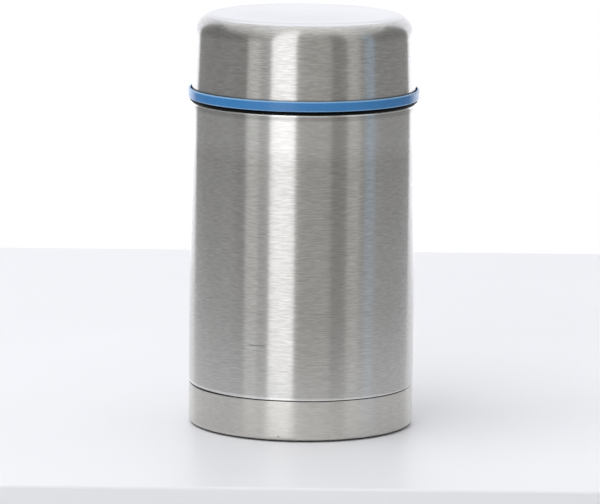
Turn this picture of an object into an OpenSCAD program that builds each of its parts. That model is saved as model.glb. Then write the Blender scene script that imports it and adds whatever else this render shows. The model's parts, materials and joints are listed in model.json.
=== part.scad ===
// Insulated food jar: double-walled steel jar, screw-in stopper with a vent valve, screw-on cup lid.
// Millimetres. The origin is the middle of the foot, +Z up the jar's axis.

/* [Body] */
// Outer diameter of the body
body_d = 98; // [94:0.5:102]
// Height of the shoulder above the table
shoulder_z = 141.4; // [138:0.1:160]
// Radius of the shoulder's edge
shoulder_edge_r = 1; // [0.7:0.1:2]
// Sheet thickness of the outer pieces
steel_t = 0.4; // [0.35:0.05:0.6]

/* [Base] */
// Height of the steel cup over the lower end
base_h = 17.7; // [14:0.1:20]
// Radius of the cup's bottom corner
base_corner_r = 2.5; // [2:0.1:3.5]
// Radius where the foot ends and the raised middle begins
foot_inner_r = 39; // [34:0.5:42]
// Height of the raised middle above the table
base_recess_h = 1.5; // [1:0.1:2]
// Height of the seam groove between the cup and the wall
seam_gap = 0.5; // [0.3:0.1:0.8]

/* [Neck and liner] */
// Outer diameter of the neck
neck_d = 84; // [83.5:0.1:84.4]
// Height of the mouth's rim above the shoulder
neck_h = 15.6; // [15.4:0.1:15.8]
// Inner diameter of the liner
liner_d = 80; // [79:0.5:81]
// Diameter of the mouth, above the sealing ledge
mouth_d = 78; // [77.9:0.1:78.2]
// Diameter inside the sealing ledge
ledge_d = 73.8; // [73.6:0.1:74]
// Height of the food space's floor above the table
floor_z = 15; // [14.5:0.1:17]
// Sheet thickness of the liner
liner_t = 0.3; // [0.25:0.05:0.5]
// Thickness of the foil sleeve in the vacuum
foil_t = 0.2; // [0.15:0.05:0.3]

/* [Cup lid] */
// Height from the ring's underside to the top of the cup
lid_h = 37.5; // [36.5:0.1:42]
// Outer diameter of the steel cap at the ring
lid_base_d = 97.2; // [96.8:0.1:97.4]
// Outer diameter of the steel cap where its corner starts
lid_top_d = 94.8; // [94.4:0.1:96]
// Radius of the cap's corner
lid_corner_r = 8.7; // [7:0.1:10]
// Rise of the domed top
crown_h = 0.8; // [0.5:0.1:1.2]
// Outer diameter of the blue ring
ring_d = 100.2; // [99.8:0.1:101]
// Height of the blue ring
ring_h = 4.7; // [4:0.1:5.5]
// Outer diameter of the black gasket on the shoulder
gasket_d = 98.8; // [96:0.2:99.4]
// Thickness of the black gasket
gasket_t = 1.6; // [1.4:0.1:2]

/* [Stopper] */
// Outer diameter of the threaded plug, under its thread
plug_d = 76; // [75.6:0.1:76.2]
// Outer diameter of the grip cover
grip_d = 82; // [80:0.5:83]
// Number of grip flutes
flute_n = 24; // [16:1:30]
// Depth of the grip flutes
flute_depth = 0.9; // [0.5:0.1:1.2]

/* [Vent valve] */
// Diameter of the push button
button_d = 18.2; // [17.6:0.1:18.4]
// Diameter of the valve stem
stem_d = 4.4; // [4:0.1:4.5]
// Wire diameter of the valve spring
wire_d = 0.8; // [0.6:0.1:1]
// Number of spring curls
spring_curls = 6; // [5:1:7]

/* [Hidden] */
$fn = 144;

steel = "silver";
liner_steel = "gainsboro";
ring_blue = "steelblue";
gasket_black = [0.06, 0.06, 0.07];
plug_grey = "lightslategray";
silicone_white = "whitesmoke";
braze_gold = "goldenrod";

// Radii and heights that several pieces share
body_r = body_d / 2;
neck_r = neck_d / 2;
liner_r = liner_d / 2;
mouth_r = mouth_d / 2;
ledge_r = ledge_d / 2;
// Gaps between fixed neighbours, and between pieces that turn on each other
fit_gap = 0.05;
turn_gap = 0.2;
// The wall's lower end is drawn in, to go inside the base cup
tuck_r = body_r - steel_t - fit_gap;
tuck_z = 4;
rim_r = (neck_r - mouth_r) / 2;
rim_z = shoulder_z + neck_h;
bead_z = rim_z - rim_r;
ring_z = shoulder_z + gasket_t;
lid_z = ring_z + lid_h;

// The sealing ledge in the liner, from below
throat_z = rim_z - 33.1;
ledge_low_z = rim_z - 25.1;
ledge_high_z = rim_z - 23.4;
bore_z = rim_z - 19.6;

// A round stretch of an outline, from angle a to angle b
function arc(x, z, r, a, b, n = 10) =
    [for (i = [0 : n]) [x + r * cos(a + (b - a) * i / n), z + r * sin(a + (b - a) * i / n)]];

// A soft step in a drawn wall, from radius r1 at height z1 to radius r2 at height z2
function ease(r1, z1, r2, z2, n = 10) =
    [for (i = [0 : n]) [r1 + (r2 - r1) * (1 - cos(180 * i / n)) / 2, z1 + (z2 - z1) * i / n]];

// The second side of a sheet: the same outline a thickness further out, walked back
function back(line, t) = [for (i = [len(line) - 1 : -1 : 0]) [line[i][0] + t, line[i][1]]];

module turned(outline) {
    rotate_extrude() polygon(outline);
}

// ---- Jar ----

// The wall's lower edge is rolled in above the seam, with a quarter round
module outer_shell() {
    edge_r = shoulder_edge_r;
    root_r = 0.8;
    roll_r = body_r - tuck_r;
    flare_z = base_h + seam_gap;
    color(steel) turned(concat(
        [[tuck_r, tuck_z]],
        arc(tuck_r, flare_z, roll_r, -90, 0, 6),
        arc(body_r - edge_r, shoulder_z - edge_r, edge_r, 0, 90),
        arc(neck_r + root_r, shoulder_z + root_r, root_r, 270, 180),
        [[neck_r, bead_z], [neck_r - steel_t, bead_z]],
        arc(neck_r + root_r, shoulder_z + root_r, root_r + steel_t, 180, 270),
        arc(body_r - edge_r, shoulder_z - edge_r, edge_r - steel_t, 90, 0),
        [[body_r - steel_t, flare_z + seam_gap], [tuck_r - steel_t, base_h], [tuck_r - steel_t, tuck_z]]
    ));
}

module base_cup() {
    r = base_corner_r;
    lip_r = steel_t / 2;
    color(steel) turned(concat(
        arc(body_r - lip_r, base_h - lip_r, lip_r, 180, 0),
        arc(body_r - r, r, r, 0, -90),
        [[foot_inner_r, 0], [foot_inner_r - base_recess_h, base_recess_h], [0, base_recess_h],
         [0, base_recess_h + steel_t], [foot_inner_r - base_recess_h + steel_t / 2, base_recess_h + steel_t],
         [foot_inner_r + steel_t / 2, steel_t]],
        arc(body_r - r, r, r - steel_t, -90, 0)
    ));
}

module neck_gasket() {
    bulge_r = gasket_t / 2;
    outer_r = gasket_d / 2;
    inner_r = neck_r + 1;
    color(gasket_black) turned(concat(
        [[inner_r, shoulder_z + gasket_t], [inner_r, shoulder_z]],
        arc(outer_r - bulge_r, shoulder_z + bulge_r, bulge_r, -90, 90)
    ));
}

// The liner's wall from the bottom weld to the mouth, on the food side
floor_corner_r = 6;
weld_z = floor_z + floor_corner_r + 1;
function liner_line() = concat(
    [[liner_r, weld_z]],
    ease(liner_r, throat_z, ledge_r, ledge_low_z),
    ease(ledge_r, ledge_high_z, mouth_r, bore_z),
    [[mouth_r, bead_z]]
);

module inner_liner() {
    color(liner_steel) turned(concat(
        liner_line(),
        arc(mouth_r + rim_r, bead_z, rim_r, 180, 0),
        back(liner_line(), liner_t)
    ));
}

module liner_bottom() {
    r = floor_corner_r;
    color(liner_steel) turned(concat(
        [[0, floor_z]],
        arc(liner_r - r, floor_z + r, r, -90, 0),
        [[liner_r, weld_z], [liner_r + liner_t, weld_z]],
        arc(liner_r - r, floor_z + r, r + liner_t, 0, -90),
        [[0, floor_z - liner_t]]
    ));
}

// The end plate, with a pocket pressed up round the pumping hole
plate_z = 9.5;
plate_r = tuck_r - steel_t;
plate_corner_r = 2.5;
pocket_r = 6;
pocket_h = 1.2;
pump_hole_r = 1;

module outer_bottom() {
    r = plate_corner_r;
    color(steel) turned(concat(
        [[plate_r, tuck_z]],
        arc(plate_r - r, plate_z - r, r, 0, 90, 6),
        [[pocket_r + pocket_h, plate_z], [pocket_r, plate_z + pocket_h], [pump_hole_r, plate_z + pocket_h],
         [pump_hole_r, plate_z + pocket_h - steel_t], [pocket_r - steel_t, plate_z + pocket_h - steel_t],
         [pocket_r + pocket_h - steel_t, plate_z - steel_t]],
        arc(plate_r - r, plate_z - r, r - steel_t, 90, 0, 6),
        [[plate_r - steel_t, tuck_z]]
    ));
}

module seal_off_plug() {
    bead_t = 0.9;
    bead_r = pocket_r - 1.2;
    z = plate_z + pocket_h - steel_t;
    color(braze_gold) {
        translate([0, 0, z - bead_t]) cylinder(h = bead_t, r = bead_r);
        translate([0, 0, z]) cylinder(h = steel_t, r = pump_hole_r);
    }
}

// The getter pill lies in its clip on the vacuum side of the end plate
getter_x = 22;
getter_r = 4;
getter_h = 2.2;
clip_t = 0.4;

module getter() {
    color("dimgray") translate([getter_x, 0, plate_z + clip_t])
        cylinder(h = getter_h, r = getter_r, $fn = 48);
}

module getter_clip() {
    long = 2 * (getter_r + clip_t) + turn_gap;
    wide = 5;
    tab_h = clip_t + getter_h;
    hook = 1.4;
    color(liner_steel) translate([getter_x, 0, plate_z]) {
        translate([-long / 2 - wide / 2, -wide / 2, 0]) cube([long + wide, wide, clip_t]);
        for (side = [-1, 1]) {
            translate([side * (long - clip_t) / 2 - clip_t / 2, -wide / 2, 0]) cube([clip_t, wide, tab_h]);
            translate([side * (long - hook) / 2 - hook / 2, -wide / 2, tab_h]) cube([hook, wide, clip_t]);
        }
    }
}

module radiation_foil() {
    spacing = 0.4;
    inner_r = liner_r + liner_t + spacing;
    low = weld_z + 2;
    high = throat_z - 3;
    color("lightgray") turned([
        [inner_r, low], [inner_r + foil_t, low], [inner_r + foil_t, high], [inner_r, high]
    ]);
}

// ---- Cup lid ----

// The cap's side leans in from lid_base_d to lid_top_d, and a shallow dome closes the top
ring_web_h = 1.7;
cap_low_z = ring_z + ring_web_h;
cap_base_r = lid_base_d / 2;
cap_top_r = lid_top_d / 2;
dome_edge_r = cap_top_r - lid_corner_r;
dome_r = (pow(dome_edge_r, 2) + pow(crown_h, 2)) / (2 * crown_h);
dome_angle = asin(dome_edge_r / dome_r);
cap_corner_z = lid_z - crown_h - lid_corner_r;

// The cap's outline from the axis to the lower edge, drawn a thickness t inside the outer face
function cap_line(t) = concat(
    arc(0, lid_z - dome_r, dome_r - t, 90, 90 - dome_angle, 8),
    arc(dome_edge_r, cap_corner_z, lid_corner_r - t, 86, 0, 14),
    [[cap_base_r - t, cap_low_z]]
);

function walked_back(line) = [for (i = [len(line) - 1 : -1 : 0]) line[i]];

module cup_shell() {
    color(steel) turned(concat(cap_line(0), walked_back(cap_line(steel_t))));
}

// The moulded bowl: a thread zone inside the rim, then the bowl, with a flange under the ring
bowl_t = 1.8;
bowl_rim_z = ring_z + 0.1;
bowl_flange_t = 0.7;
bowl_thread_r = neck_r + 2;
bowl_outer_r = bowl_thread_r + 2;
bowl_flange_r = bowl_outer_r + 1.2;
bowl_top_r = cap_top_r - steel_t - 1.6;
bowl_corner_r = 7;
bowl_top_z = lid_z - crown_h - steel_t - 1.1;

module cup_liner() {
    thread_top_z = rim_z + 0.5;
    taper_h = 4;
    inner_top_r = bowl_top_r - bowl_t;
    corner_z = bowl_top_z - bowl_corner_r;
    // A ring on the bowl's back, bonded under the steel cap
    bond_r = 22;
    bond_w = 4;
    bond_z = bowl_top_z + 1.4;
    color(plug_grey) turned(concat(
        [[bowl_thread_r, bowl_rim_z], [bowl_flange_r, bowl_rim_z],
         [bowl_flange_r, bowl_rim_z + bowl_flange_t], [bowl_outer_r, bowl_rim_z + bowl_flange_t],
         [bowl_outer_r, ring_z + ring_h]],
        arc(bowl_top_r - bowl_corner_r, corner_z, bowl_corner_r, 0, 90),
        [[bond_r + bond_w, bowl_top_z], [bond_r + bond_w, bond_z], [bond_r, bond_z], [bond_r, bowl_top_z],
         [0, bowl_top_z], [0, bowl_top_z - bowl_t]],
        arc(bowl_top_r - bowl_corner_r, corner_z, bowl_corner_r - bowl_t, 90, 0),
        ease(inner_top_r, thread_top_z + taper_h, bowl_thread_r, thread_top_z, 4)
    ));
}

// The blue ring: a web under the cap's edge, and a thin lip that stands clear outside the cap
module cup_ring() {
    lip_t = 0.85;
    lip_r = ring_d / 2;
    foot_r = 0.7;
    tip_r = lip_t / 2;
    web_r = bowl_outer_r + turn_gap;
    rebate_r = bowl_flange_r + turn_gap;
    rebate_z = bowl_rim_z + bowl_flange_t;
    color(ring_blue) turned(concat(
        [[web_r, rebate_z], [rebate_r, rebate_z], [rebate_r, ring_z]],
        arc(lip_r - foot_r, ring_z + foot_r, foot_r, -90, 0, 6),
        arc(lip_r - tip_r, ring_z + ring_h - tip_r, tip_r, 0, 180, 8),
        [[lip_r - lip_t, cap_low_z], [web_r, cap_low_z]]
    ));
}

// ---- Stopper ----

// The plug's wall stands under a deck; the well for the valve hangs in its middle
plug_r = plug_d / 2;
plug_inner_r = plug_r - 2.8;
plug_low_z = rim_z - 19;
deck_low_z = rim_z + 0.4;
deck_z = deck_low_z + 2;
deck_r = grip_d / 2 - 1;
well_r = 10.6;
well_outer_r = well_r + 1.6;
well_floor_z = deck_z - 10.9;
well_floor_t = 1.5;
stem_r = stem_d / 2;
guide_r = stem_r + 0.15;
guide_outer_r = guide_r + 2;

// The bottom plate's middle is raised, and its underside there is the valve's seat
base_z = plug_low_z - 5;
base_t = 2;
base_rim_r = ledge_r - 0.6;
seat_z = base_z + 3;
seat_t = 1.6;

module stopper_body() {
    guide_low_z = seat_z + base_t;
    floor_low_z = well_floor_z - well_floor_t;
    color(plug_grey) turned([
        [plug_inner_r, plug_low_z], [plug_r, plug_low_z], [plug_r, deck_low_z], [deck_r, deck_low_z],
        [deck_r, deck_z], [well_r, deck_z], [well_r, well_floor_z], [guide_r, well_floor_z],
        [guide_r, guide_low_z], [guide_outer_r, guide_low_z], [guide_outer_r, floor_low_z],
        [well_outer_r, floor_low_z], [well_outer_r, deck_low_z], [plug_inner_r, deck_low_z]
    ]);
}

// The grip cover: a shallow dish round the button, and flutes round the edge
cover_h = 5;
dish_depth = 1.8;
cover_t = 1.8;
hole_r = button_d / 2 + 0.4;

module stopper_cover() {
    r = grip_d / 2;
    edge_r = 2;
    rim_w = 3.5;
    skirt_r = r - 3;
    collar_r = hole_r + 1.6;
    top_z = deck_z + cover_h;
    under_z = top_z - cover_t - 0.4;
    dish_z = top_z - dish_depth;
    dish_r = hole_r + 4;
    flute_r = 2.6;
    color(plug_grey) difference() {
        turned(concat(
            [[skirt_r, deck_z], [r, deck_z]],
            arc(r - edge_r, top_z - edge_r, edge_r, 0, 90, 6),
            ease(r - rim_w, top_z, dish_r, dish_z, 8),
            [[hole_r, dish_z], [hole_r, deck_z], [collar_r, deck_z], [collar_r, dish_z - cover_t],
             [dish_r, dish_z - cover_t], [skirt_r - 2, under_z], [skirt_r, under_z]]
        ));
        for (i = [0 : flute_n - 1])
            rotate(i * 360 / flute_n) translate([r + flute_r - flute_depth, 0, deck_z - 1])
                cylinder(h = cover_h + 2, r = flute_r, $fn = 32);
    }
}

// The bottom plate's spigot is pressed into the plug
spigot_h = 5;

module stopper_base() {
    spigot_r = plug_inner_r - fit_gap;
    spigot_inner_r = spigot_r - 1.8;
    spigot_z = base_z + base_t;
    raise_r = 14;
    vent_r = stem_r + 1.4;
    color(plug_grey) turned([
        [raise_r + base_t, base_z], [base_rim_r, base_z], [base_rim_r, spigot_z],
        [spigot_r, spigot_z], [spigot_r, spigot_z + spigot_h], [spigot_inner_r, spigot_z + spigot_h],
        [spigot_inner_r, spigot_z], [raise_r + base_t, spigot_z], [raise_r + base_t, seat_z + seat_t],
        [vent_r, seat_z + seat_t], [vent_r, seat_z], [raise_r, seat_z], [raise_r, base_z]
    ]);
}

// The seal: a ring between plug and bottom plate, whose lip leans on the liner's ledge
module stopper_gasket() {
    inner_r = plug_inner_r + 0.1;
    low = base_z + base_t;
    lip_r = mouth_r - 0.3;
    shy = 0.2;
    color(silicone_white) turned([
        [inner_r, low], [ledge_r, low], [ledge_r + 0.9, low + 0.6], [lip_r - shy, low + 1.6],
        [lip_r, low + 2.4], [lip_r - shy, plug_low_z - shy / 2], [plug_r - 2 * shy, plug_low_z],
        [inner_r, plug_low_z]
    ]);
}

module stopper_foam() {
    room = 0.4;
    low = base_z + base_t + spigot_h + room;
    high = deck_low_z - room;
    step_z = well_floor_z - well_floor_t - room;
    color("ivory") turned([
        [guide_outer_r + room, low], [plug_inner_r - room, low], [plug_inner_r - room, high],
        [well_outer_r + room, high], [well_outer_r + room, step_z], [guide_outer_r + room, step_z]
    ]);
}

// ---- Vent valve ----

// The button is a cap with a boss for the stem, and a stop flange that the cover keeps in
button_r = button_d / 2;
button_top_z = deck_z + 4;
button_top_t = 2;
spring_top_z = button_top_z - button_top_t;
boss_r = 3.6;
boss_h = 4.5;
socket_r = stem_r + fit_gap;

module valve_button() {
    skirt_inner_r = button_r - 1.5;
    stop_r = well_r - 0.4;
    stop_t = 1.2;
    stop_z = deck_z - turn_gap - stop_t;
    socket_z = spring_top_z - 0.4;
    edge_r = 0.8;
    hollow = 0.5;
    color(ring_blue) turned(concat(
        [[0, socket_z], [socket_r, socket_z], [socket_r, spring_top_z - boss_h],
         [boss_r, spring_top_z - boss_h], [boss_r, spring_top_z], [skirt_inner_r, spring_top_z],
         [skirt_inner_r, stop_z], [stop_r, stop_z], [stop_r, stop_z + stop_t],
         [button_r, stop_z + stop_t]],
        arc(button_r - edge_r, button_top_z - edge_r, edge_r, 0, 90, 5),
        ease(skirt_inner_r, button_top_z, 0, button_top_z - hollow, 6)
    ));
}

module valve_stem() {
    collar_r = 3.4;
    collar_h = 1;
    top = spring_top_z - 0.5;
    low = seat_z - 4;
    color("white") {
        translate([0, 0, low]) cylinder(h = top - low, r = stem_r);
        translate([0, 0, spring_top_z - boss_h - collar_h]) cylinder(h = collar_h, r = collar_r);
    }
}

// Under the seat: a silicone washer, the disc that carries it, and a push-on clip
disc_r = 8;
disc_t = 1.4;
disc_edge = 0.6;
seal_t = 0.9;
clip_r = stem_r + 2;
clip_h = 0.7;
clip_edge = 0.4;

module valve_seal() {
    low = seat_z - seal_t;
    color(silicone_white) turned([
        [socket_r, low], [disc_r - disc_edge, low], [disc_r - disc_edge, seat_z], [socket_r, seat_z]
    ]);
}

module valve_disc() {
    top = seat_z - seal_t;
    low = top - disc_t;
    color(plug_grey) turned([
        [socket_r, low], [disc_r - disc_edge, low], [disc_r, low + disc_edge], [disc_r, top], [socket_r, top]
    ]);
}

module valve_retainer() {
    top = seat_z - seal_t - disc_t;
    low = top - clip_h;
    color(liner_steel) turned([
        [socket_r, low], [clip_r - clip_edge, low], [clip_r, low + clip_edge], [clip_r, top], [socket_r, top]
    ]);
}

// The spring is one tube swept along a helix, with its ends inside their seats' height
spring_r = 5.6;
rings_per_curl = 8;
wire_sides = 6;
end_gap = 0.02;
spring_low = well_floor_z + wire_d / 2 + end_gap;
spring_high = spring_top_z - wire_d / 2 - end_gap;
spring_n = spring_curls * rings_per_curl;
spring_pitch = (spring_high - spring_low) / spring_curls;

function spring_point(i) =
    let (a = 360 * i / rings_per_curl)
    [spring_r * cos(a), spring_r * sin(a), spring_low + (spring_high - spring_low) * i / spring_n];

function wire_ring(i) =
    let (a = 360 * i / rings_per_curl, p = spring_point(i))
    [for (k = [0 : wire_sides - 1])
        let (b = 360 * k / wire_sides, out = wire_d / 2 * cos(b))
        [p[0] + out * cos(a), p[1] + out * sin(a), p[2] + wire_d / 2 * sin(b)]];

// The least distance between the wire's own curls, less the wire
spring_gap = min([for (i = [0 : spring_n - rings_per_curl + 2]) for (j = [i + rings_per_curl - 2 : spring_n])
    norm(spring_point(i) - spring_point(j))]) - wire_d;
echo(spring_gap = spring_gap);

module valve_spring() {
    ring_points = [for (i = [0 : spring_n]) each wire_ring(i)];
    first = [for (k = [0 : wire_sides - 1]) k];
    last = [for (k = [wire_sides - 1 : -1 : 0]) spring_n * wire_sides + k];
    sides = [for (i = [0 : spring_n - 1]) for (k = [0 : wire_sides - 1])
        let (a = i * wire_sides + k, b = i * wire_sides + (k + 1) % wire_sides)
        each [[a, a + wire_sides, b], [b, a + wire_sides, b + wire_sides]]];
    caps = concat([for (k = [1 : wire_sides - 2]) [first[0], first[k], first[k + 1]]],
        [for (k = [1 : wire_sides - 2]) [last[0], last[k], last[k + 1]]]);
    color("gainsboro") polyhedron(points = ring_points, faces = concat(sides, caps));
}

outer_shell();
base_cup();
neck_gasket();
inner_liner();
liner_bottom();
outer_bottom();
seal_off_plug();
getter();
getter_clip();
radiation_foil();
cup_shell();
cup_liner();
cup_ring();
stopper_body();
stopper_cover();
stopper_base();
stopper_gasket();
stopper_foam();
valve_button();
valve_stem();
valve_disc();
valve_seal();
valve_retainer();
valve_spring();
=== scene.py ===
import json
import math

import bmesh
import bpy
from mathutils import Matrix, Vector


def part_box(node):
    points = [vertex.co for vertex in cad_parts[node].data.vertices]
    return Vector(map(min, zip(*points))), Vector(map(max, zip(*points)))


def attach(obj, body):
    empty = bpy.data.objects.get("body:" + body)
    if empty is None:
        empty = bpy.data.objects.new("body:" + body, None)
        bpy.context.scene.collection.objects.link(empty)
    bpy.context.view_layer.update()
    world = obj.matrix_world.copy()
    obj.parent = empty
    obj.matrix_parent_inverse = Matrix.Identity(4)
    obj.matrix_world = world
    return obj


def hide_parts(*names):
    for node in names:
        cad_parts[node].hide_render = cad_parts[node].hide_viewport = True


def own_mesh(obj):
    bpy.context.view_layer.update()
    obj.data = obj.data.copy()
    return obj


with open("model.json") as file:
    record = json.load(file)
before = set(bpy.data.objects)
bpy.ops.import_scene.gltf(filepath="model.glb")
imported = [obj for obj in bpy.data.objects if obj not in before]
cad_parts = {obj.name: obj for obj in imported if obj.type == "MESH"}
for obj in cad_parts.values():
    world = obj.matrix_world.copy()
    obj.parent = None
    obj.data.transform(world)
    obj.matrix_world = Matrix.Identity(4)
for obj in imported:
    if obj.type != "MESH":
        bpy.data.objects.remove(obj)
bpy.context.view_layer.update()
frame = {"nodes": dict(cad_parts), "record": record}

mm = 0.001
nodes = frame["nodes"]
nodeSlot = {entry["node"]: entry["material_slot"] for entry in frame["record"]["subparts"]}
nodeBody = {name: body for body, names in frame["record"]["behaviour"]["bodies"].items() for name in names}


def lowOf(node):
    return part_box(node)[0].z


def topOf(node):
    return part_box(node)[1].z


def radiusOf(node):
    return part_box(node)[1].x


# the picture is 600 x 504; the jar's axis, at aimHeight, falls on aimPixel
camera = {
    "distance": 2.079,
    "elevation": math.radians(8.72),
    "roll": math.radians(0.63),
    "lens": 286.1,
    "sensor": 36.0,
    "aimHeight": 0.0891,
    "aimPixel": (302.5, 220.2),
    "picture": (600, 504),
}


def addCamera():
    pixelFocus = camera["lens"] / camera["sensor"] * camera["picture"][0]
    fromMiddle = Vector(camera["aimPixel"]) - Vector(camera["picture"]) / 2
    right, down = Matrix.Rotation(-camera["roll"], 2) @ fromMiddle
    turn = math.atan2(right, pixelFocus)
    drop = camera["elevation"] + math.atan2(-down, math.hypot(right, pixelFocus))
    data = bpy.data.cameras.new("photoCamera")
    data.lens = camera["lens"]
    data.sensor_width = camera["sensor"]
    data.clip_start, data.clip_end = 0.1, 100
    obj = bpy.data.objects.new("photoCamera", data)
    bpy.context.scene.collection.objects.link(obj)
    place = Matrix.Translation((0, 0, camera["aimHeight"]))
    away = Matrix.Rotation(-camera["elevation"], 4, "X") @ Matrix.Translation((0, -camera["distance"], 0))
    spot = (place @ away).translation
    facing = Matrix.Rotation(turn, 4, "Z") @ Matrix.Rotation(math.pi / 2 - drop, 4, "X")
    obj.matrix_world = Matrix.Translation(spot) @ facing @ Matrix.Rotation(camera["roll"], 4, "Z")
    bpy.context.scene.camera = obj


def colour(hexValue):
    parts = [int(hexValue[i:i + 2], 16) / 255 for i in (1, 3, 5)]
    return [c / 12.92 if c <= 0.04045 else ((c + 0.055) / 1.055) ** 2.4 for c in parts] + [1]


def addNode(tree, kind, inputs=None, **settings):
    node = tree.nodes.new(kind)
    for key, value in settings.items():
        setattr(node, key, value)
    for key, value in (inputs or {}).items():
        if isinstance(value, bpy.types.NodeSocket):
            tree.links.new(value, node.inputs[key])
        else:
            node.inputs[key].default_value = value
    return node


def newMaterial(name, **constants):
    mat = bpy.data.materials.new(name)
    mat.use_nodes = True
    tree = mat.node_tree
    shader = tree.nodes["Principled BSDF"]
    for key, value in constants.items():
        shader.inputs[key.replace("_", " ")].default_value = value
    return mat, tree, shader


def ramp(tree, value, low, high, fromLow=0.3, fromHigh=0.7):
    inputs = {0: value, 1: fromLow, 2: fromHigh, 3: low, 4: high}
    return addNode(tree, "ShaderNodeMapRange", inputs).outputs[0]


def mixed(tree, share, under, over):
    return addNode(tree, "ShaderNodeMix", {0: share, 6: under, 7: over}, data_type="RGBA").outputs[2]


def tint(tree, value, dark, light, fromLow=0.3, fromHigh=0.7):
    return mixed(tree, ramp(tree, value, 0, 1, fromLow, fromHigh), colour(dark), colour(light))


def product(tree, one, other):
    return addNode(tree, "ShaderNodeMath", {0: one, 1: other}, operation="MULTIPLY").outputs[0]


def between(tree, value, low, high, fade):
    rise = ramp(tree, value, 0, 1, low - fade, low)
    return product(tree, rise, ramp(tree, value, 1, 0, high, high + fade))


def overBands(tree, shade, bands):
    # rings of another tone between two heights on the piece, each faded at its edges; a ring that leans is
    # higher at the left, and a mark is a ring cut to a short stretch of the front
    place = addNode(tree, "ShaderNodeTexCoord").outputs["Object"]
    parts = addNode(tree, "ShaderNodeSeparateXYZ", {0: place}).outputs
    for band in bands:
        inputs = {0: parts[0], 1: band.get("lean", 0), 2: parts[2]}
        height = addNode(tree, "ShaderNodeMath", inputs, operation="MULTIPLY_ADD").outputs[0]
        share = between(tree, height, band["low"], band["high"], band.get("fade", 0.15 * mm))
        if "across" in band:
            front = ramp(tree, parts[1], 1, 0, -0.001, 0)
            stretch = between(tree, parts[0], *band["across"], 0.6 * mm)
            share = product(tree, share, product(tree, front, stretch))
        shade = mixed(tree, product(tree, share, band["share"]), shade, colour(band["shade"]))
    return shade


def roundTheAxis(tree, linesPerMetre):
    # lines that run round the jar: fast along its profile, slow round it; on the top they are rings
    across, along = linesPerMetre
    place = addNode(tree, "ShaderNodeTexCoord").outputs["Object"]
    parts = addNode(tree, "ShaderNodeSeparateXYZ", {0: place}).outputs
    flat = addNode(tree, "ShaderNodeCombineXYZ", {0: parts[0], 1: parts[1]}).outputs[0]
    reach = addNode(tree, "ShaderNodeVectorMath", {0: flat}, operation="LENGTH").outputs["Value"]
    profile = addNode(tree, "ShaderNodeMath", {0: parts[2], 1: reach}, operation="SUBTRACT").outputs[0]
    lined = addNode(tree, "ShaderNodeCombineXYZ", {0: parts[0], 1: parts[1], 2: profile}).outputs[0]
    return addNode(tree, "ShaderNodeMapping", {0: lined, 3: (along, along, across)}).outputs[0]


seamTop, shoulderTop = topOf("base_cup") + 0.25 * mm, lowOf("neck_gasket") + 0.3 * mm
ringTop = topOf("cup_ring") - 0.3 * mm

# marks and rings of another tone: painted light low and high on the body, painted highlights at the seam and
# shoulder edges, painted shade in the seam, just under the shoulder edge, on the cap above the ring and in
# the gap under the foot, and light scuffs
brushedLook = {
    "body": dict(dark="#b2b1ae", light="#c5c4c1", roughness=0.26, anisotropy=0.95, bands=[
        # painted light: the body grows lighter towards its bottom, in place of the reflected table
        dict(low=0, high=seamTop + 2 * mm, fade=35 * mm, shade="#ffffff", share=0.14),
        # painted light: the body grows lighter towards the shoulder
        dict(low=shoulderTop - 14 * mm, high=shoulderTop, fade=8 * mm, shade="#ffffff", share=0.17),
        # painted dark reflection just under the shoulder edge
        dict(low=shoulderTop - 2.2 * mm, high=shoulderTop - 1.1 * mm, fade=1 * mm,
             shade="#7c7b79", share=0.35),
        # painted highlight along the shoulder's rounded edge
        dict(low=shoulderTop - 0.85 * mm, high=shoulderTop, shade="#fbfbfa", share=1),
        # painted highlight on the wall's rolled lower edge above the seam, higher towards the left
        dict(low=seamTop + 0.35 * mm, high=seamTop + 0.9 * mm, fade=0.6 * mm, lean=0.01,
             shade="#f7f7f6", share=0.6),
        # painted shade in the seam groove and on the wall tucked under it, wider towards the left
        dict(low=0, high=seamTop + 0.2 * mm, fade=0.1 * mm, lean=0.002, shade="#0c0b0a", share=1),
        dict(low=0, high=seamTop - 0.3 * mm, fade=0.1 * mm, lean=0.02, shade="#0c0b0a", share=1),
        dict(low=41.4 * mm, high=41.6 * mm, across=(-21.8 * mm, -15.6 * mm), shade="#4c4b48", share=0.6),
        dict(low=30.8 * mm, high=31 * mm, across=(-16.5 * mm, -5.5 * mm), shade="#6c6b68", share=0.22),
    ]),
    "cap": dict(dark="#b6b5b2", light="#cbcac7", roughness=0.25, anisotropy=0.96, bands=[
        # painted dark reflection and shade on the cap's lowest edge, just above the ring
        dict(low=0, high=ringTop + 0.3 * mm, fade=0.25 * mm, shade="#4a4946", share=0.4),
    ]),
    "top": dict(dark="#c8c8c8", light="#cbcbcb", roughness=0.2, anisotropy=0, bands=[]),
    "base": dict(dark="#c9c7c2", light="#d6d4cf", roughness=0.3, anisotropy=0.82, bands=[
        # painted shade: the foot wall and the underside of the corner are near-black, for the shadow in the
        # gap under the base
        dict(low=0.1 * mm, high=0.62 * mm, fade=0.05 * mm, shade="#0c0c0b", share=1),
        dict(low=2.3 * mm, high=2.7 * mm, across=(-9.6 * mm, -9.2 * mm), shade="#55534e", share=0.6),
    ]),
}


grain = {
    "fine": (2200, 260),  # lines a metre, across the brushing and along it
    "broad": (330, 12),
    "blotch": (30, 22),
    "broadShare": 0.03,
    "bumpStrength": 0.003,
    "bumpDepth": 0.05 * mm,
}


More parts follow.
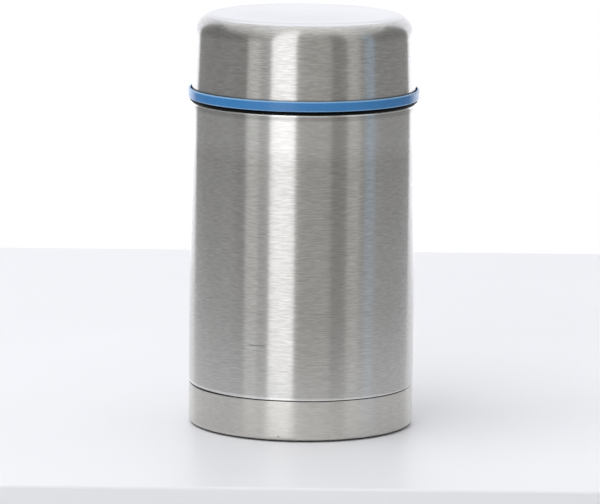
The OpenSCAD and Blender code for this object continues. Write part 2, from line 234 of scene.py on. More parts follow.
def brushedSteel(name, look):
    # 304 stainless sheet, belt-brushed round the axis: light smears up and down the wall, with fine lines
    # the real lines are about 0.1 mm apart and are drawn 0.45 mm apart, so that they show
    mat, tree, shader = newMaterial(name, Metallic=1.0, Anisotropic=look["anisotropy"])
    place = roundTheAxis(tree, grain["fine"])
    fine = addNode(tree, "ShaderNodeTexNoise", {"Vector": place, "Detail": 2, "Scale": 1}).outputs[0]
    place = roundTheAxis(tree, grain["broad"])
    broad = addNode(tree, "ShaderNodeTexNoise", {"Vector": place, "Detail": 1, "Scale": 1}).outputs[0]
    place = roundTheAxis(tree, grain["blotch"])
    blotch = addNode(tree, "ShaderNodeTexNoise", {"Vector": place, "Detail": 1, "Scale": 1}).outputs[0]
    inputs = {0: broad, 1: grain["broadShare"], 2: fine}
    lines = addNode(tree, "ShaderNodeMath", inputs, operation="MULTIPLY_ADD").outputs[0]
    shade = tint(tree, lines, look["dark"], look["light"], 0.36, 0.7)
    tree.links.new(overBands(tree, shade, look["bands"]), shader.inputs["Base Color"])
    rough = ramp(tree, blotch, look["roughness"] - 0.02, look["roughness"] + 0.02)
    tree.links.new(rough, shader.inputs["Roughness"])
    inputs = {"Height": broad, "Strength": grain["bumpStrength"], "Distance": grain["bumpDepth"]}
    tree.links.new(addNode(tree, "ShaderNodeBump", inputs).outputs[0], shader.inputs["Normal"])
    if look["anisotropy"]:
        shader.inputs["Anisotropic Rotation"].default_value = 0.25
        tangent = addNode(tree, "ShaderNodeTangent", direction_type="RADIAL", axis="Z")
        tree.links.new(tangent.outputs[0], shader.inputs["Tangent"])
    return mat


def linerSteel():
    # 304 stainless, deep drawn and electropolished: soft mirror with faint drawing lines
    mat, tree, shader = newMaterial("electropolishedSteel", Metallic=1.0)
    inputs = {"Vector": roundTheAxis(tree, (900, 14)), "Scale": 1, "Detail": 2}
    lines = addNode(tree, "ShaderNodeTexNoise", inputs).outputs[0]
    tree.links.new(tint(tree, lines, "#bdbcb9", "#cfcecb"), shader.inputs["Base Color"])
    tree.links.new(ramp(tree, lines, 0.2, 0.3), shader.inputs["Roughness"])
    return mat


def mouldedPlastic(name, dark, light, roughness, grainMm, grainDepth, bands=(), specular=0.5):
    # moulded polymer: even colour, a slight flow variation, and the mould's fine spark texture
    mat, tree, shader = newMaterial(name, IOR=1.49, Specular_IOR_Level=specular)
    place = addNode(tree, "ShaderNodeTexCoord").outputs["Object"]
    flow = addNode(tree, "ShaderNodeTexNoise", {"Vector": place, "Scale": 45, "Detail": 2})
    spark = addNode(tree, "ShaderNodeTexNoise", {"Vector": place, "Scale": 1000 / grainMm, "Detail": 2})
    shade = overBands(tree, tint(tree, flow.outputs[0], dark, light), bands)
    tree.links.new(shade, shader.inputs["Base Color"])
    rough = ramp(tree, spark.outputs[0], roughness - 0.04, roughness + 0.04)
    tree.links.new(rough, shader.inputs["Roughness"])
    inputs = {"Height": spark.outputs[0], "Strength": 0.3, "Distance": grainDepth}
    tree.links.new(addNode(tree, "ShaderNodeBump", inputs).outputs[0], shader.inputs["Normal"])
    return mat


def plainMetal(name, dark, light, roughness, scale):
    # drawn, rolled or flowed metal inside the jar: a slight cloudiness in tone and polish
    mat, tree, shader = newMaterial(name, Metallic=1.0)
    place = addNode(tree, "ShaderNodeTexCoord").outputs["Object"]
    cloud = addNode(tree, "ShaderNodeTexNoise", {"Vector": place, "Scale": scale, "Detail": 3})
    tree.links.new(tint(tree, cloud.outputs[0], dark, light), shader.inputs["Base Color"])
    rough = ramp(tree, cloud.outputs[0], roughness - 0.05, roughness + 0.08)
    tree.links.new(rough, shader.inputs["Roughness"])
    return mat


def makeMaterials():
    made = {
        "brushed_steel": brushedSteel("brushedSteelBody", brushedLook["body"]),
        "cap_steel": brushedSteel("brushedSteelCap", brushedLook["cap"]),
        "top_steel": brushedSteel("satinSteelTop", brushedLook["top"]),
        "base_steel": brushedSteel("brushedSteelBase", brushedLook["base"]),
        "liner_steel": linerSteel(),
        "blue_plastic": mouldedPlastic("bluePolypropylene", "#3f8ad4", "#4690d8", 0.3, 0.5, 0.00001),
        "ring_plastic": mouldedPlastic("bluePolypropyleneRing", "#357bb9", "#3b80bd", 0.25, 0.5, 0.00001, [
            # painted highlights: the ring's top and bottom edges are lighter
            dict(low=ringTop - 0.45 * mm, high=ringTop, shade="#8dbbe2", share=0.8),
            dict(low=lowOf("cup_ring"), high=lowOf("cup_ring") + 0.45 * mm, shade="#7cabd6", share=0.8),
        ]),
        "black_rubber": mouldedPlastic("blackNitrileRubber", "#020203", "#040406", 0.4, 0.6, 0.00001,
                                       specular=0.05),
        "grey_plastic": mouldedPlastic("greyPolypropylene", "#8b9095", "#989da2", 0.5, 0.25, 0.00003),
        "white_plastic": mouldedPlastic("whiteAcetal", "#d9d9d5", "#e4e4e0", 0.3, 0.4, 0.00001),
        "silicone": mouldedPlastic("whiteSilicone", "#d5d9da", "#e2e5e6", 0.35, 0.6, 0.00001),
        "foam": mouldedPlastic("polyurethaneFoam", "#d8cfb0", "#ebe4ca", 0.85, 0.4, 0.0001),
        "spring_steel": plainMetal("springSteelWire", "#a9a9a9", "#c4c4c4", 0.2, 300),
        "braze": plainMetal("nickelBraze", "#8d7a4e", "#b09a68", 0.35, 400),
        "foil": plainMetal("aluminiumFoil", "#cfd1d2", "#e3e4e5", 0.18, 60),
        "getter_metal": plainMetal("sinteredGetter", "#2b2b2c", "#454546", 0.65, 900),
    }
    print("materials:", len(made))
    return made


def finishMesh(bm, name, body, material, replaced=(), sharpAngle=35):
    mesh = bpy.data.meshes.new(name)
    bm.to_mesh(mesh)
    bm.free()
    mesh.materials.append(material)
    mesh.shade_smooth()
    mesh.set_sharp_from_angle(angle=math.radians(sharpAngle))
    obj = bpy.data.objects.new(name, mesh)
    bpy.context.scene.collection.objects.link(obj)
    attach(obj, body)
    if replaced:
        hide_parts(*replaced)
    return obj


def roundedLine(bm, corners, closed=False):
    # an outline of (radius, height, rounding) corners in the XZ plane, each bevelled to its own rounding
    verts = [bm.verts.new((r, 0, z)) for r, z, _ in corners]
    for a, b in zip(verts, verts[1:] + (verts[:1] if closed else [])):
        bm.edges.new((a, b))
    last = len(corners) - 1
    for i, (r, z, rounding) in enumerate(corners):
        if not rounding or (not closed and i in (0, last)):
            continue
        here = Vector((r, z))
        before = (Vector(corners[i - 1][:2]) - here).normalized()
        after = (Vector(corners[(i + 1) % len(corners)][:2]) - here).normalized()
        setBack = rounding / math.tan(before.angle(after) / 2)
        segments = max(3, min(16, round(rounding / (0.25 * mm))))
        bmesh.ops.bevel(bm, geom=[verts[i]], offset=setBack, offset_type="OFFSET", segments=segments,
                        profile=0.5, affect="VERTICES", material=-1)
    holdStraights(bm)


def holdStraights(bm):
    # a long straight beside a rounding gets a point just inside that end, so that it is shaded flat
    for edge in [edge for edge in bm.edges if edge.calc_length() > 3 * mm]:
        for end in edge.verts[:]:
            beside = [other.calc_length() for other in end.link_edges if other is not edge]
            if not beside or min(beside) > 1 * mm:
                continue
            added, _ = bmesh.utils.edge_split(edge, end, 0.3 * mm / edge.calc_length())
            if added.calc_length() > edge.calc_length():
                edge = added


def turned(bm, steps=192):
    bmesh.ops.spin(bm, geom=bm.verts[:] + bm.edges[:], axis=(0, 0, 1), cent=(0, 0, 0), dvec=(0, 0, 0),
                   angle=2 * math.pi, steps=steps, use_merge=True)
    bmesh.ops.remove_doubles(bm, verts=bm.verts[:], dist=0.002 * mm)
    bmesh.ops.recalc_face_normals(bm, faces=bm.faces[:])
    bm.normal_update()
    widest = max(bm.faces, key=lambda face: face.calc_center_median().xy.length)
    if widest.normal.xy.dot(widest.calc_center_median().xy) < 0:
        bmesh.ops.reverse_faces(bm, faces=bm.faces[:])


def turnedPiece(name, node, corners, material, wall=0.0, steps=192):
    bm = bmesh.new()
    roundedLine(bm, corners, closed=not wall)
    turned(bm, steps)
    if wall:
        bmesh.ops.solidify(bm, geom=bm.faces[:], thickness=wall)
    return finishMesh(bm, name, nodeBody[node], material, [node])


def secondFinish(piece, material, chosen):
    # gives the faces that chosen picks a second material
    piece.data.materials.append(material)
    for face in piece.data.polygons:
        if chosen(face):
            face.material_index = 1


def dome(radius, rise, top, count=6):
    # the shallow dome's points from its edge to just before the axis
    return [(radius * (1 - i / count), top - rise * (1 - i / count) ** 2, 0) for i in range(1, count)]


def screwBead(name, body, material, thread):
    # a rounded thread swept round the axis while it climbs, its two ends faded into the wall
    root, crest, low, pitch, turns = (thread[key] for key in ("root", "crest", "low", "pitch", "turns"))
    halfRoot, halfCrest = thread["width"] / 2, thread["width"] / 4
    outward = 1 if crest > root else -1
    sunk = root - outward * 0.15 * mm
    bm = bmesh.new()
    outline = [(sunk, -halfRoot), (crest, -halfCrest), (crest, halfCrest), (sunk, halfRoot)]
    verts = [bm.verts.new((r, 0, low + z)) for r, z in outline]
    bm.faces.new(verts)
    stepsPerTurn = 72
    steps = round(stepsPerTurn * turns)
    bmesh.ops.spin(bm, geom=bm.faces[:], axis=(0, 0, 1), cent=(0, 0, 0), dvec=(0, 0, pitch / stepsPerTurn),
                   angle=2 * math.pi * turns, steps=steps, use_merge=False)
    fadeRise = pitch / 8
    for vert in bm.verts:
        reach = vert.co.xy.length
        angle = math.atan2(vert.co.y, vert.co.x)
        centre = low + pitch * angle / (2 * math.pi)
        wound = centre + pitch * round((vert.co.z - centre) / pitch)
        climbed = min(wound - low, low + pitch * turns - wound)
        share = max(0.0, min(1.0, climbed / fadeRise))
        kept = sunk + (reach - sunk) * share
        vert.co.x *= kept / reach
        vert.co.y *= kept / reach
    bmesh.ops.rotate(bm, verts=bm.verts[:], cent=(0, 0, 0), matrix=Matrix.Rotation(thread["start"], 3, "Z"))
    bmesh.ops.recalc_face_normals(bm, faces=bm.faces[:])
    return finishMesh(bm, name, body, material, sharpAngle=60)


jar = {
    "bodyR": radiusOf("base_cup"),
    "wall": 0.4 * mm,
    "tuckR": 48.55 * mm,
    "flareZ": seamTop + 0.5 * mm,
    "shoulderZ": shoulderTop,
    "shoulderRound": 1.0 * mm,
    "neckR": radiusOf("inner_liner"),
    "neckRound": 0.8 * mm,
    "neckTop": topOf("outer_shell"),
    "baseCorner": 1.6 * mm,
    "footGap": 0.6 * mm,
    "footOuter": 46.2 * mm,
    "footInner": 39 * mm,
    "recess": 1.5 * mm,
}


def makeOuterShell(steel):
    j = jar
    roll = j["bodyR"] - j["tuckR"]
    corners = [
        (j["tuckR"], lowOf("outer_shell"), 0), (j["tuckR"], j["flareZ"] - roll, 0),
        (j["bodyR"], j["flareZ"] - roll, 0.99 * roll), (j["bodyR"], j["shoulderZ"], j["shoulderRound"]),
        (j["neckR"], j["shoulderZ"], j["neckRound"]), (j["neckR"], j["neckTop"], 0),
    ]
    turnedPiece("outerShell", "outer_shell", corners, steel, wall=j["wall"], steps=256)


def makeBaseCup(steel):
    j = jar
    top, wall, floor = seamTop, j["wall"], j["recess"]
    corners = [
        (j["bodyR"] - wall, top - 0.3 * mm, 0), (j["bodyR"] - 0.3 * mm, top, 0.2 * mm),
        (j["bodyR"], top - 0.25 * mm, 0.2 * mm), (j["bodyR"], j["footGap"], j["baseCorner"]),
        (j["footOuter"], j["footGap"], 0.1 * mm), (j["footOuter"], 0, 0.1 * mm),
        (j["footInner"], 0, 0.6 * mm), (j["footInner"] - floor, floor, 0.6 * mm),
        (12 * mm, floor, 0), (0, floor, 0), (0, floor + wall, 0), (j["footInner"] - floor, floor + wall, 0),
        (j["footInner"] + 0.4 * mm, wall, 0), (j["footOuter"] - 1 * mm, wall, 0),
        (j["footOuter"] - 0.4 * mm, wall + j["footGap"], 0),
        (j["bodyR"] - wall, wall + j["footGap"], j["baseCorner"] - wall),
    ]
    turnedPiece("baseCup", "base_cup", corners, steel, steps=256)


def makeNeckGasket(rubber):
    low, top = shoulderTop, topOf("neck_gasket")
    outer, inner = radiusOf("neck_gasket"), jar["neckR"] + 1 * mm
    half = 0.49 * (top - low)
    corners = [(inner, low, 0.2 * mm), (outer, low, half), (outer, top, half), (inner, top, 0.2 * mm)]
    turnedPiece("neckGasket", "neck_gasket", corners, rubber, steps=256)


liner = {
    "innerR": 40 * mm,
    "wall": 0.3 * mm,
    "throatZ": 124.5 * mm,
    "ledgeR": 36.9 * mm,  # the ledge that the stopper's seal sits on
    "ledgeZ": (131.5 * mm, 134.2 * mm),
    "mouthR": 39 * mm,
    "boreZ": 137.0 * mm,
    "rimRound": 1.4 * mm,
    "floorR": 20 * mm,
    "floorRound": 6 * mm,
}


def makeLiner(steel):
    f = liner
    weld, rim, bead = lowOf("inner_liner"), topOf("inner_liner"), jar["neckTop"]
    ledgeLow, ledgeHigh = f["ledgeZ"]
    inside = [
        (f["innerR"], weld, 0), (f["innerR"], f["throatZ"], 6 * mm), (f["ledgeR"], ledgeLow, 3 * mm),
        (f["ledgeR"], ledgeHigh, 1 * mm), (f["mouthR"], f["boreZ"], 1 * mm),
        (f["mouthR"], rim, f["rimRound"]), (jar["neckR"], rim, f["rimRound"]), (jar["neckR"], bead, 0),
        (f["mouthR"] + f["wall"], bead, 0.3 * mm),
    ]
    outside = [(r + f["wall"], z, q) for r, z, q in reversed(inside[:5])]
    turnedPiece("foodLiner", "inner_liner", inside + outside, steel)
    under = lowOf("liner_bottom")
    over, outer = under + f["wall"], f["innerR"] + f["wall"]
    bottom = [
        (0, over, 0), (f["floorR"], over, 0), (f["innerR"], over, f["floorRound"]), (f["innerR"], weld, 0),
        (outer, weld, 0), (outer, under, f["floorRound"] + 0.5 * mm), (f["floorR"], under, 0), (0, under, 0),
    ]
    turnedPiece("linerFloor", "liner_bottom", bottom, steel)


cup = {
    "baseR": radiusOf("cup_shell"),
    "cornerR": 47.4 * mm,
    "cornerRound": 8.7 * mm,
    "crown": 0.8 * mm,
    "wall": 0.4 * mm,
    "top": topOf("cup_shell"),
    "low": lowOf("cup_shell"),
    "satinSlope": 0.87,  # the top is satin where its faces look up more than this
}


def makeCupShell(steel, satin):
    c = cup
    edge = c["top"] - c["crown"]
    flat = c["cornerR"] - c["cornerRound"]
    corners = [(c["baseR"], c["low"], 0), (c["cornerR"], edge + 0.2 * mm, c["cornerRound"])]
    corners += [(flat - 1.5 * mm, edge + 0.08 * mm, 0)]
    corners += dome(flat - 1.5 * mm, c["crown"] - 0.08 * mm, c["top"])
    corners += [(0, c["top"], 0)]
    shell = turnedPiece("cupShell", "cup_shell", corners, steel, wall=c["wall"], steps=256)
    secondFinish(shell, satin, lambda face: face.normal.z > c["satinSlope"])


ring = {
    "lip": 0.85 * mm,
    "innerR": 46.2 * mm,
    "skirtR": 47.4 * mm,
    "skirtDrop": 0.8 * mm,
}


def makeCupRing(plastic):
    r = ring
    low, outer = lowOf("cup_ring"), radiusOf("cup_ring")
    inner, hem = outer - r["lip"], low + r["skirtDrop"]
    corners = [
        (r["innerR"], hem, 0), (r["skirtR"], hem, 0), (r["skirtR"], low, 0.2 * mm), (outer, low, 0.7 * mm),
        (outer, ringTop, 0.6 * mm), (inner, ringTop, 0.2 * mm), (inner, cup["low"], 0),
        (r["innerR"], cup["low"], 0),
    ]
    turnedPiece("cupRing", "cup_ring", corners, plastic, steps=256)


bowl = {
    "wall": 1.8 * mm,
    "threadR": 44 * mm,
    "outerR": 46 * mm,
    "upperR": 45.4 * mm,
    "flange": 1.2 * mm,
    "flangeHeight": 0.7 * mm,
    "bondRing": (22 * mm, 26 * mm),  # the raised ring that is bonded to the steel
    "bondHeight": 1.4 * mm,
    "stepZ": (157.5 * mm, 161.5 * mm),
}


def makeCupLiner(plastic):
    b = bowl
    low, bond = lowOf("cup_liner"), topOf("cup_liner")
    top, under = bond - b["bondHeight"], bond - b["bondHeight"] - b["wall"]
    hemR, hem = b["outerR"] + b["flange"], low + b["flangeHeight"]
    bondInner, bondOuter = b["bondRing"]
    stepLow, stepHigh = b["stepZ"]
    corners = [
        (b["threadR"], low, 0.3 * mm), (hemR, low, 0.1 * mm), (hemR, hem, 0.1 * mm), (b["outerR"], hem, 0),
        (b["outerR"], low + 4.6 * mm, 0), (b["upperR"], top, 7 * mm), (bondOuter, top, 0),
        (bondOuter, bond, 0), (bondInner, bond, 0), (bondInner, top, 0), (0, top, 0), (0, under, 0),
        (20 * mm, under, 0), (b["upperR"] - b["wall"], under, 5.2 * mm),
        (b["upperR"] - b["wall"], stepHigh, 2 * mm), (b["threadR"], stepLow, 2 * mm),
    ]
    turnedPiece("cupBowl", "cup_liner", corners, plastic)


stopper = {
    "plugR": 38 * mm,
    "plugWall": 2.8 * mm,
    "deckLow": topOf("stopper_body") - 2 * mm,
    "wellR": 10.6 * mm,
    "wellWall": 1.6 * mm,
    "wellDepth": 10.9 * mm,
    "wellFloor": 1.5 * mm,
    "stemR": 2.2 * mm,
    "guideGap": 0.15 * mm,
    "guideWall": 2 * mm,
    "bottomSheet": 2 * mm,
    "raisedR": 14 * mm,
    "sealR": (36.9 * mm, 38.5 * mm, 38.7 * mm),  # the seal's lip, from its lower edge outwards
}


def makeStopper(grey, silicone):
    s = stopper
    low, deck, deckR = lowOf("stopper_body"), topOf("stopper_body"), radiusOf("stopper_body")
    inner, guide = s["plugR"] - s["plugWall"], s["stemR"] + s["guideGap"]
    wellOuter, guideOuter = s["wellR"] + s["wellWall"], guide + s["guideWall"]
    wellZ = deck - s["wellDepth"]
    underWell = wellZ - s["wellFloor"]
    corners = [
        (inner, low, 0.2 * mm), (s["plugR"], low, 0.4 * mm), (s["plugR"], s["deckLow"], 0.5 * mm),
        (deckR, s["deckLow"], 0.4 * mm), (deckR, deck, 0), (s["wellR"], deck, 0.2 * mm),
        (s["wellR"], wellZ, 0.4 * mm), (guide, wellZ, 0.2 * mm), (guide, low, 0.2 * mm),
        (guideOuter, low, 0.2 * mm), (guideOuter, underWell, 0.4 * mm), (wellOuter, underWell, 0.4 * mm),
        (wellOuter, s["deckLow"], 0.4 * mm), (inner, s["deckLow"], 0.4 * mm),
    ]
    turnedPiece("stopperPlug", "stopper_body", corners, grey)
    low, top, rim = lowOf("stopper_base"), topOf("stopper_base"), radiusOf("stopper_base")
    raised, vent, spigot = s["raisedR"], s["stemR"] + 1.4 * mm, inner - 0.05 * mm
    sheet = low + s["bottomSheet"]
    corners = [
        (raised, low, 0.3 * mm), (rim, low, 0.5 * mm), (rim, sheet, 0.2 * mm), (spigot, sheet, 0),
        (spigot, top, 0.2 * mm), (spigot - 1.8 * mm, top, 0.2 * mm), (spigot - 1.8 * mm, sheet, 0.3 * mm),
        (raised + 2 * mm, sheet, 0.3 * mm), (raised + 2 * mm, low + 4.6 * mm, 0.3 * mm),
        (vent, low + 4.6 * mm, 0.2 * mm), (vent, low + 3 * mm, 0.2 * mm), (raised, low + 3 * mm, 0.3 * mm),
    ]
    turnedPiece("stopperBottom", "stopper_base", corners, grey)
    low, top = lowOf("stopper_gasket"), topOf("stopper_gasket")
    sealLow, sealMiddle, sealLip = s["sealR"]
    corners = [
        (inner + 0.1 * mm, low, 0.2 * mm), (sealLow, low, 0.2 * mm), (sealMiddle, low + 1.6 * mm, 0.4 * mm),
        (sealLip, low + 2.4 * mm, 0.2 * mm), (sealMiddle, top, 0.3 * mm), (inner + 0.1 * mm, top, 0.2 * mm),
    ]
    turnedPiece("stopperSeal", "stopper_gasket", corners, silicone)


cover = {
    "outerR": 41 * mm,
    "holeR": 9.5 * mm,
    "dish": 1.8 * mm,
    "flutes": 24,
    "fluteDepth": 0.9 * mm,
    "fluteBand": 2.2 * mm,  # how far in from the edge a flute fades out
    "fluteHalf": 0.36,  # half a flute's width, as a share of the pitch
}


def makeCover(grey):
    c = cover
    low, top = lowOf("stopper_cover"), topOf("stopper_cover")
    outer, hole, band = c["outerR"], c["holeR"], c["fluteBand"]
    dished, under, rimUnder = top - c["dish"], top - 2 * c["dish"], top - band
    bm = bmesh.new()
    roundedLine(bm, [
        (outer - 3 * mm, low, 0.2 * mm), (outer, low, 0.4 * mm), (outer, top, 2 * mm),
        (outer - 4 * mm, top, 1 * mm), (hole + 5 * mm, dished, 3 * mm), (hole, dished, 0.4 * mm),
        (hole, low, 0.2 * mm), (hole + 1.6 * mm, low, 0.2 * mm), (hole + 1.6 * mm, under, 0.3 * mm),
        (hole + 4 * mm, under, 0.3 * mm), (outer - 5 * mm, rimUnder, 0.3 * mm),
        (outer - 3 * mm, rimUnder, 0.3 * mm),
    ], closed=True)
    turned(bm, steps=c["flutes"] * 16)
    # the flutes: the outer wall is drawn in where each shallow scoop runs
    for vert in bm.verts:
        reach = vert.co.xy.length
        if reach < outer - band:
            continue
        turnShare = (math.atan2(vert.co.y, vert.co.x) / (2 * math.pi) * c["flutes"]) % 1
        off = min(turnShare, 1 - turnShare) / c["fluteHalf"]
        if off < 1:
            inwards = c["fluteDepth"] * math.sqrt(1 - off * off) * (reach - outer + band) / band
            vert.co.x *= 1 - inwards / reach
            vert.co.y *= 1 - inwards / reach
    finishMesh(bm, "gripCover", "stopper", grey, ["stopper_cover"], sharpAngle=50)


valve = {
    "buttonR": 9.1 * mm,
    "buttonSheet": 2 * mm,
    "bossR": 3.6 * mm,
    "bossHeight": 4.5 * mm,
    "socketRise": 0.4 * mm,
    "skirtWall": 1.5 * mm,
    "stopHeight": 1.2 * mm,
    "fitGap": 0.05 * mm,
    "collarZ": 155.9 * mm,
    "collarR": 3.4 * mm,
}


def makeValve(blue, white, grey, silicone, wire):
    v, stemR = valve, stopper["stemR"]
    low, top = lowOf("valve_button"), topOf("valve_button")
    buttonR, stopR = v["buttonR"], radiusOf("valve_button")
    under, bore = top - v["buttonSheet"], stemR + v["fitGap"]
    socket, bossLow = under - v["socketRise"], under - v["bossHeight"]
    skirtInner, stop = buttonR - v["skirtWall"], low + v["stopHeight"]
    corners = [
        (0, socket, 0), (bore, socket, 0), (bore, bossLow, 0), (v["bossR"], bossLow, 0),
        (v["bossR"], under, 0.3 * mm), (skirtInner, under, 0.3 * mm), (skirtInner, low, 0.1 * mm),
        (stopR, low, 0.2 * mm), (stopR, stop, 0.2 * mm), (buttonR, stop, 0.1 * mm),
        (buttonR, top, 0.8 * mm), (5 * mm, top - 0.15 * mm, 2 * mm), (0, top - 0.5 * mm, 0),
    ]
    turnedPiece("pushButton", "valve_button", corners, blue, steps=96)
    low, top = lowOf("valve_stem"), topOf("valve_stem")
    collarR, collarLow = v["collarR"], v["collarZ"]
    collarHigh = collarLow + 1 * mm
    corners = [
        (0, low, 0), (stemR, low, 0.4 * mm), (stemR, collarLow, 0), (collarR, collarLow, 0.2 * mm),
        (collarR, collarHigh, 0.2 * mm), (stemR, collarHigh, 0), (stemR, top, 0.3 * mm), (0, top, 0),
    ]
    turnedPiece("valveStem", "valve_stem", corners, white, steps=64)
    for name, node, material in (("valveDisc", "valve_disc", grey), ("valveWasher", "valve_seal", silicone),
                                 ("pushOnClip", "valve_retainer", wire)):
        low, top, outer = lowOf(node), topOf(node), radiusOf(node)
        corners = [(bore, low, 0), (outer, low, 0.25 * mm), (outer, top, 0.15 * mm), (bore, top, 0)]
        turnedPiece(name, node, corners, material, steps=96)


spring = {
    "middleR": 5.6 * mm,
    "curls": 6,
    "seatZ": 148.5 * mm,
    "stroke": 2.5 * mm,
    "stepsPerTurn": 40,
}


def makeSpring(wire):
    # a round wire wound up the stem; the real one shortens on its seat as the button goes down, while this
    # coil keeps one length
    s = spring
    low, top = lowOf("valve_spring"), topOf("valve_spring")
    wireR = radiusOf("valve_spring") - s["middleR"]
    pitch = (top - low - 2 * wireR) / s["curls"]
    stepsPerTurn = s["stepsPerTurn"]
    bm = bmesh.new()
    upright = Matrix.Rotation(math.pi / 2, 4, "X")
    place = Matrix.Translation((s["middleR"], 0, low + wireR)) @ upright
    bmesh.ops.create_circle(bm, cap_ends=True, segments=12, radius=wireR, matrix=place)
    bmesh.ops.spin(bm, geom=bm.faces[:], axis=(0, 0, 1), cent=(0, 0, 0), dvec=(0, 0, pitch / stepsPerTurn),
                   angle=2 * math.pi * s["curls"], steps=stepsPerTurn * s["curls"], use_merge=False)
    bmesh.ops.recalc_face_normals(bm, faces=bm.faces[:])
    coil = finishMesh(bm, "returnSpring", "stopper", wire, ["valve_spring"], sharpAngle=60)
    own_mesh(coil)


# pitch 4 mm on neck and cup, 3.5 mm on plug and mouth; mates are half a pitch apart, so they pass in mesh
threads = {
    "neckThread": dict(node="outer_shell", root=42 * mm, crest=43.2 * mm, low=146 * mm, pitch=4 * mm,
                       turns=1.75, width=1.7 * mm, start=0.0),
    "cupThread": dict(node="cup_liner", root=44 * mm, crest=42.8 * mm, low=148 * mm, pitch=4 * mm,
                      turns=1.5, width=1.7 * mm, start=0.0),
    "plugThread": dict(node="stopper_body", root=38 * mm, crest=38.75 * mm, low=142 * mm, pitch=3.5 * mm,
                       turns=2.5, width=1.3 * mm, start=0.0),
    "mouthThread": dict(node="inner_liner", root=39 * mm, crest=38.3 * mm, low=143.75 * mm, pitch=3.5 * mm,
                        turns=2.5, width=1.3 * mm, start=0.0),
}


def makeThreads(made):
    stuff = {"outer_shell": "liner_steel", "inner_liner": "liner_steel", "cup_liner": "grey_plastic",
             "stopper_body": "grey_plastic"}
    for name, thread in threads.items():
        slot = stuff[thread["node"]]
        screwBead(name, nodeBody[thread["node"]], made[slot], thread)


def dressHiddenNodes(made):
    for name in ("outer_bottom", "seal_off_plug", "getter", "getter_clip", "radiation_foil", "stopper_foam"):
        node = nodes[name]
        node.data.materials.clear()
        node.data.materials.append(made[nodeSlot[name]])


table = {"front": -0.143, "back": 0.473, "half": 0.65, "thick": 0.04, "evenHalf": 0.17, "dim": "#b4b5b8"}

# what stands round the jar, seen only in the steel: bearings and elevations in degrees, bearing 0 at the
# camera and positive to the right; level 1 is white
cards = {
    "wallLeft": dict(bearing=(-141, -60.5), elevation=(-60, 4), level=0.34, shade="#fffefc"),
    "wallLeftHigh": dict(bearing=(-141, -60.5), elevation=(4, 40), level=0.25, shade="#fffefc"),
    "paleCardLeft": dict(bearing=(-60.5, -46.5), elevation=(-60, 18), level=0.82, shade="#fffffe"),
    "wallOverPaleCard": dict(bearing=(-60.5, -46.5), elevation=(18, 40), level=0.42, shade="#fffefc"),
    "wallBesideBox": dict(bearing=(-46.5, -34), level=0.58, shade="#ffffff"),
    "softBox": dict(bearing=(-34, -8), elevation=(-60, 76), level=1.76, shade="#fdfdff"),
    "wallMiddle": dict(bearing=(-8, 29), elevation=(-60, 60), level=0.55, shade="#fffdf9"),
    "darkCardRight": dict(bearing=(29, 46), elevation=(-60, 4), level=0.36, shade="#fffdf9"),
    "darkCardRightHigh": dict(bearing=(29, 46), elevation=(4, 55), level=0.32, shade="#fffdf9"),
    "paleCardRight": dict(bearing=(46, 60), level=0.64, shade="#fffdf9"),
    "wallNearRight": dict(bearing=(60, 67), level=0.42, shade="#fffdf9"),
    "coolCardRight": dict(bearing=(67, 78), level=0.62, shade="#d9ecff"),
    "wallRight": dict(bearing=(78, 138), elevation=(-60, 4), level=0.37, shade="#fffefc"),
    "wallRightHigh": dict(bearing=(78, 138), elevation=(4, 40), level=0.27, shade="#fffefc"),
    "backdropLow": dict(bearing=(138, 219), elevation=(-60, 0), level=1.85, shade="#f8f9ff"),
    "backdrop": dict(bearing=(138, 219), elevation=(0, 35), level=1.22, shade="#f8f9ff"),
    "skylight": dict(bearing=(138, 219), elevation=(35, 74), level=1.5, shade="#f8f9ff"),
    "upperWalls": dict(bearing=(-141, 219), elevation=(36, 62), radius=6.4, level=0.85, shade="#ffffff"),
    "ceiling": dict(bearing=(-141, 219), elevation=(62, 90), radius=6.4, level=1.05, shade="#ffffff"),
}
cardReach = {"radius": 6.0, "elevation": (-60, 40)}
behind = ("backdropLow", "backdrop", "skylight")


def emission(name, shade, level):
    mat = bpy.data.materials.new(name)
    mat.use_nodes = True
    tree = mat.node_tree
    tree.nodes.remove(tree.nodes["Principled BSDF"])
    light = addNode(tree, "ShaderNodeEmission", {"Color": colour(shade), "Strength": level})
    tree.links.new(light.outputs[0], tree.nodes["Material Output"].inputs["Surface"])
    mat.cycles.emission_sampling = "NONE"
    return mat


def addCards():
    for name, card in cards.items():
        bm = bmesh.new()
        radius = card.get("radius", cardReach["radius"])
        first, last = card["bearing"]
        low, high = card.get("elevation", cardReach["elevation"])
        turn = math.radians(first)
        count = max(2, round((high - low) / 8))
        verts = []
        for i in range(count + 1):
            rise = math.radians(low + (high - low) * i / count)
            reach = radius * max(math.cos(rise), 0.0001)
            spot = (reach * math.sin(turn), -reach * math.cos(turn), radius * math.sin(rise))
            verts.append(bm.verts.new(spot))
        edges = [bm.edges.new(pair) for pair in zip(verts, verts[1:])]
        steps = max(2, round((last - first) / 4))
        bmesh.ops.spin(bm, geom=verts + edges, axis=(0, 0, 1), cent=(0, 0, 0), dvec=(0, 0, 0),
                       angle=math.radians(last - first), steps=steps, use_merge=False)
        mesh = bpy.data.meshes.new(name)
        bm.to_mesh(mesh)
        bm.free()
        mesh.materials.append(emission(name, card["shade"], card["level"]))
        obj = bpy.data.objects.new(name, mesh)
        bpy.context.scene.collection.objects.link(obj)
        obj.visible_camera = obj.visible_transmission = False
        obj.visible_diffuse = name not in behind


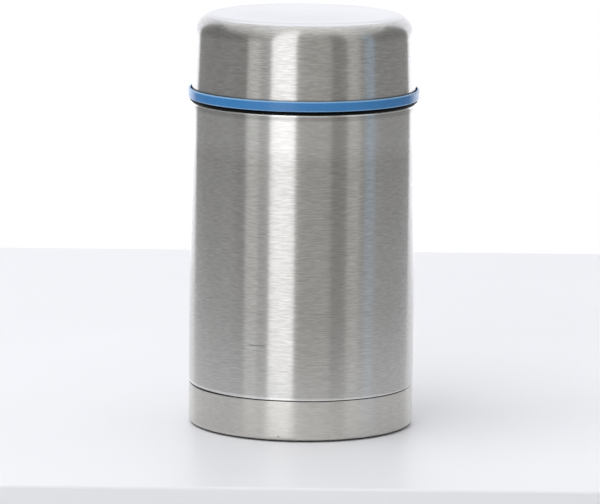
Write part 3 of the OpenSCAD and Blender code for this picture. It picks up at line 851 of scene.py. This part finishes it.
def addTable():
    t = table
    bm = bmesh.new()
    bmesh.ops.create_cube(bm, size=1)
    bmesh.ops.scale(bm, vec=(2 * t["half"], t["back"] - t["front"], t["thick"]), verts=bm.verts[:])
    middle = (0, (t["back"] + t["front"]) / 2, -t["thick"] / 2)
    bmesh.ops.translate(bm, vec=middle, verts=bm.verts[:])
    bmesh.ops.bevel(bm, geom=bm.edges[:], offset=0.001, segments=2, profile=0.5, affect="EDGES", material=-1)
    mesh = bpy.data.meshes.new("tableTop")
    bm.to_mesh(mesh)
    bm.free()
    mat, tree, shader = newMaterial("paintedTableTop", IOR=1.38, Specular_IOR_Level=0.3)
    place = addNode(tree, "ShaderNodeTexCoord").outputs["Object"]
    cloud = addNode(tree, "ShaderNodeTexNoise", {"Vector": place, "Scale": 6, "Detail": 2})
    # the light falls off to both sides of the picture: drawn here as a greyer table top
    side = addNode(tree, "ShaderNodeSeparateXYZ", {0: place}).outputs[0]
    reach = addNode(tree, "ShaderNodeMath", {0: side}, operation="ABSOLUTE").outputs[0]
    falloff = ramp(tree, reach, 0, 1, t["evenHalf"], t["half"])
    shade = mixed(tree, falloff, tint(tree, cloud.outputs[0], "#f0f1f5", "#f3f4f8"), colour(t["dim"]))
    tree.links.new(shade, shader.inputs["Base Color"])
    shader.inputs["Roughness"].default_value = 0.4
    mesh.materials.append(mat)
    obj = bpy.data.objects.new("tableTop", mesh)
    bpy.context.scene.collection.objects.link(obj)


lamps = {
    "roomLevel": 0.92,
    "overhead": dict(place=(-0.75, -0.3, 1.5), size=1.2, power=7.0),
}


def addLight():
    world = bpy.data.worlds.new("whiteRoom")
    world.use_nodes = True
    bpy.context.scene.world = world
    tree = world.node_tree
    ray = addNode(tree, "ShaderNodeLightPath").outputs
    seen = ray["Is Camera Ray"]
    for other in ("Is Glossy Ray", "Is Transmission Ray"):
        seen = addNode(tree, "ShaderNodeMath", {0: seen, 1: ray[other]}, operation="MAXIMUM").outputs[0]
    level = ramp(tree, seen, lamps["roomLevel"], 1.0, 0, 1)
    back = tree.nodes["Background"]
    back.inputs["Color"].default_value = (1, 1, 1, 1)
    tree.links.new(level, back.inputs["Strength"])
    lamp = bpy.data.lights.new("overheadSoftBox", "AREA")
    lamp.energy = lamps["overhead"]["power"]
    lamp.size = lamps["overhead"]["size"]
    obj = bpy.data.objects.new("overheadSoftBox", lamp)
    obj.location = lamps["overhead"]["place"]
    obj.rotation_euler = (-Vector(lamps["overhead"]["place"])).to_track_quat("-Z", "Y").to_euler()
    obj.visible_glossy = False
    bpy.context.scene.collection.objects.link(obj)
    bpy.context.scene.view_settings.view_transform = "Standard"


addCamera()
made = makeMaterials()
makeOuterShell(made["brushed_steel"])
makeBaseCup(made["base_steel"])
makeNeckGasket(made["black_rubber"])
makeLiner(made["liner_steel"])
print("jar done")
makeCupShell(made["cap_steel"], made["top_steel"])
makeCupRing(made["ring_plastic"])
makeCupLiner(made["grey_plastic"])
print("cup lid done")
makeStopper(made["grey_plastic"], made["silicone"])
makeCover(made["grey_plastic"])
makeValve(made["blue_plastic"], made["white_plastic"], made["grey_plastic"], made["silicone"],
          made["spring_steel"])
makeSpring(made["spring_steel"])
makeThreads(made)
dressHiddenNodes(made)
print("stopper, valve and threads done")
addTable()
addCards()
addLight()
print("table and light done")
